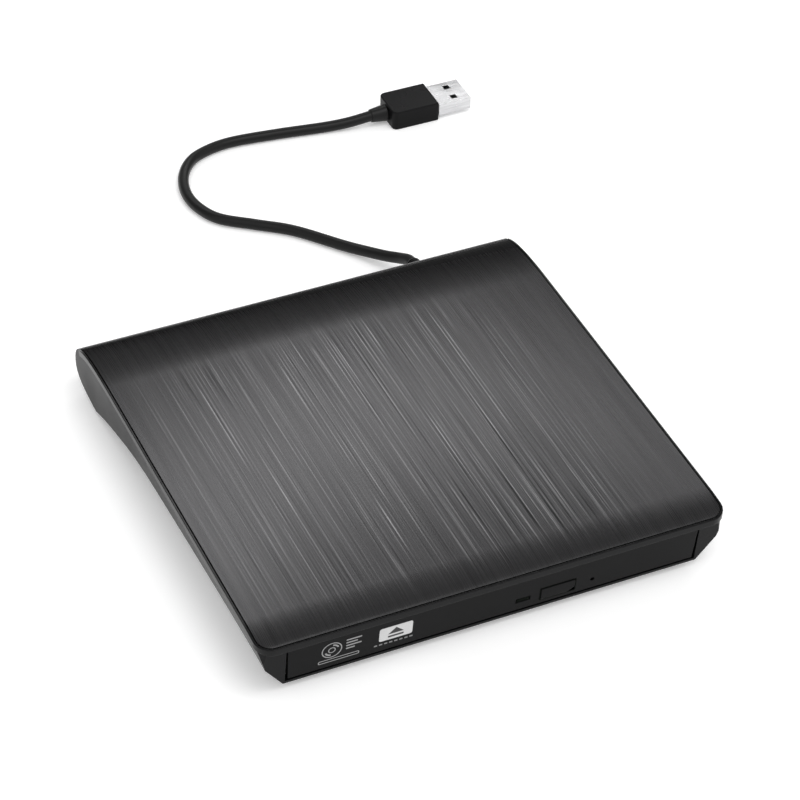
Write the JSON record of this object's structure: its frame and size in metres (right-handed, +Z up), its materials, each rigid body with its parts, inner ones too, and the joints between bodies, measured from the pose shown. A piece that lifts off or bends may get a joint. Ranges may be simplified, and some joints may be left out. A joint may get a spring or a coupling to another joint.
{
  "type": "external optical drive",
  "caption": "Slim external optical drive with a brushed lid, a sliding disc tray, eject button, spindle, travelling pickup and an attached USB cable.",
  "frame": {"origin": "centre of the case's footprint, on the surface it stands on", "axes": "-Y is the front, where the tray comes out; +X is to the right seen from the front; +Z is up"},
  "size_m": [0.1753, 0.2501, 0.0205],
  "materials": {
    "lid_brushed": "black anodised sheet with fine brushed lines running front to back",
    "gloss_black": "glossy black moulded plastic rim",
    "case_plastic": "fine-textured satin black plastic",
    "bezel_plastic": "smooth satin black plastic",
    "rubber": "matt black rubber",
    "sheet_steel": "galvanised sheet steel",
    "bright_steel": "bright turned or plated steel",
    "tray_plastic": "dark grey glass-filled plastic",
    "white_plastic": "natural acetal",
    "circuit_board": "green solder mask with black chips",
    "ribbon": "amber flexible circuit",
    "lens": "coated objective lens",
    "lamp": "milky light pipe",
    "cable_jacket": "matt black cable jacket"
  },
  "bodies": {
    "case": {"lid_plate": "lid_brushed", "top_cover": "gloss_black", "bottom_case": "case_plastic", "foot_1": "rubber", "foot_2": "rubber", "foot_3": "rubber", "foot_4": "rubber", "case_screw_1": "bright_steel", "case_screw_2": "bright_steel", "drive_screw_1": "bright_steel", "drive_screw_2": "bright_steel", "drive_pan": "sheet_steel", "drive_lid": "sheet_steel", "rail_guide_left": "white_plastic", "rail_guide_right": "white_plastic", "rear_board": "circuit_board", "bridge_board": "circuit_board", "drive_connector": "tray_plastic", "bridge_connector": "tray_plastic", "ribbon_fixed": "ribbon", "kick_spring": "bright_steel", "strain_relief": "cable_jacket", "usb_cable": "cable_jacket", "plug_body": "case_plastic", "plug_neck": "cable_jacket", "plug_shell": "bright_steel", "plug_tongue": "tray_plastic"},
    "rails": {"slide_rail_left": "sheet_steel", "slide_rail_right": "sheet_steel", "ribbon_fold": "ribbon"},
    "tray": {"tray": "tray_plastic", "tray_bezel": "bezel_plastic", "led_window": "lamp", "mech_cover": "case_plastic", "traverse_plate": "sheet_steel", "guide_rod_main": "bright_steel", "guide_rod_sub": "bright_steel", "sled_motor": "sheet_steel", "spindle_motor": "sheet_steel", "damper_1": "rubber", "damper_2": "rubber", "damper_3": "rubber", "tray_board": "circuit_board", "main_board": "circuit_board", "latch_solenoid": "sheet_steel", "tray_under_cover": "sheet_steel", "ribbon_tray": "ribbon"},
    "eject_button": {"eject_button": "bezel_plastic"},
    "spindle": {"turntable": "bright_steel", "friction_ring": "rubber"},
    "claw_1": {"hub_claw_1": "bright_steel"},
    "claw_2": {"hub_claw_2": "bright_steel"},
    "claw_3": {"hub_claw_3": "bright_steel"},
    "sled": {"pickup_sled": "sheet_steel", "sled_follower": "white_plastic"},
    "lens": {"lens_holder": "tray_plastic", "objective_lens": "lens"},
    "lead_screw": {"lead_screw": "bright_steel"},
    "latch": {"latch_lever": "white_plastic"}
  },
  "joints": [
    {"name": "tray_slide", "type": "slide", "parent": "case", "child": "tray", "axis": [0, -1, 0], "range_m": [0, 0.128]},
    {"name": "rail_slide", "type": "slide", "parent": "case", "child": "rails", "axis": [0, -1, 0], "range_m": [0, 0.064]},
    {"name": "button_press", "type": "slide", "parent": "tray", "child": "eject_button", "axis": [0, 1, 0], "range_m": [0, 0.0007], "stiffness_N_per_m": 800, "springref_m": -0.0004},
    {"name": "spindle_spin", "type": "hinge", "parent": "tray", "child": "spindle", "pos_m": [0, -0.0085, 0.0131], "axis": [0, 0, 1], "continuous": true},
    {"name": "claw_1_press", "type": "slide", "parent": "spindle", "child": "claw_1", "axis": [0, -1, 0], "range_m": [0, 0.0004], "stiffness_N_per_m": 300, "springref_m": -0.0003},
    {"name": "claw_2_press", "type": "slide", "parent": "spindle", "child": "claw_2", "axis": [0.866, 0.5, 0], "range_m": [0, 0.0004], "stiffness_N_per_m": 300, "springref_m": -0.0003},
    {"name": "claw_3_press", "type": "slide", "parent": "spindle", "child": "claw_3", "axis": [-0.866, 0.5, 0], "range_m": [0, 0.0004], "stiffness_N_per_m": 300, "springref_m": -0.0003},
    {"name": "sled_feed", "type": "slide", "parent": "tray", "child": "sled", "axis": [-0.7071, 0.7071, 0], "range_m": [0, 0.033]},
    {"name": "lead_screw_spin", "type": "hinge", "parent": "tray", "child": "lead_screw", "pos_m": [-0.01838, -0.01699, 0.0077], "axis": [-0.7071, 0.7071, 0], "range_deg": [0, 3970]},
    {"name": "lens_focus", "type": "slide", "parent": "sled", "child": "lens", "axis": [0, 0, 1], "range_m": [-0.0003, 0.0004], "stiffness_N_per_m": 60},
    {"name": "latch_swing", "type": "hinge", "parent": "tray", "child": "latch", "pos_m": [0.05, -0.056, 0.0062], "axis": [0, 0, -1], "range_deg": [0, 8]}
  ],
  "couplings": [
    {"joint": "rail_slide", "follows": "tray_slide", "ratio": 0.5},
    {"joint": "lead_screw_spin", "follows": "sled_feed", "rad_per_m": 2094.4}
  ]
}
